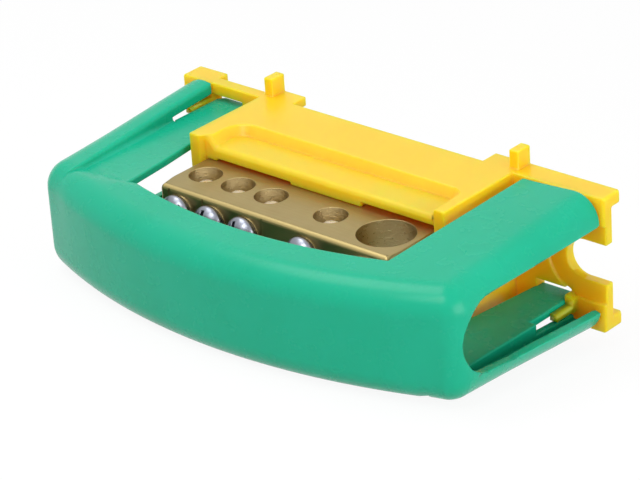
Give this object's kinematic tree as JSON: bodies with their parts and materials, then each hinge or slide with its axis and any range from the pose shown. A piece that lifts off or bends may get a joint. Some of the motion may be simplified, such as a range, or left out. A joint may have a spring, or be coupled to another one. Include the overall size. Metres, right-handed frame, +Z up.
{
  "type": "power distribution block",
  "caption": "Earth terminal block: a yellow support holds a drilled brass bar with clamp screws, under a bowed green cover with open wire windows above, below and at both ends.",
  "frame": {"origin": "middle of the whole part's box", "axes": "X along the bar, +Y to the back where the part is fixed, +Z up"},
  "size_m": [0.0872, 0.0483, 0.0292],
  "materials": {
    "yellow_plastic": "satin moulded plastic",
    "green_plastic": "glossy moulded plastic",
    "brass": "sawn and drilled bar",
    "zinc": "bright plated steel"
  },
  "bodies": {
    "block": {"base": "yellow_plastic", "cover": "green_plastic", "terminal_bar": "brass"},
    "screw_1": {"small_screw_1": "zinc"},
    "screw_2": {"small_screw_2": "zinc"},
    "screw_3": {"small_screw_3": "zinc"},
    "screw_4": {"small_screw_4": "zinc"},
    "screw_5": {"large_screw": "zinc"}
  },
  "joints": [
    {"name": "screw_1_travel", "type": "slide", "parent": "block", "child": "screw_1", "axis": [0, -1, 0], "range_m": [-0.0004, 0.0043]},
    {"name": "screw_2_travel", "type": "slide", "parent": "block", "child": "screw_2", "axis": [0, -1, 0], "range_m": [-0.0004, 0.0043]},
    {"name": "screw_3_travel", "type": "slide", "parent": "block", "child": "screw_3", "axis": [0, -1, 0], "range_m": [-0.0004, 0.0043]},
    {"name": "screw_4_travel", "type": "slide", "parent": "block", "child": "screw_4", "axis": [0, -1, 0], "range_m": [-0.0004, 0.0043]},
    {"name": "screw_5_travel", "type": "slide", "parent": "block", "child": "screw_5", "axis": [0, -1, 0], "range_m": [-0.003, 0.0008]}
  ]
}
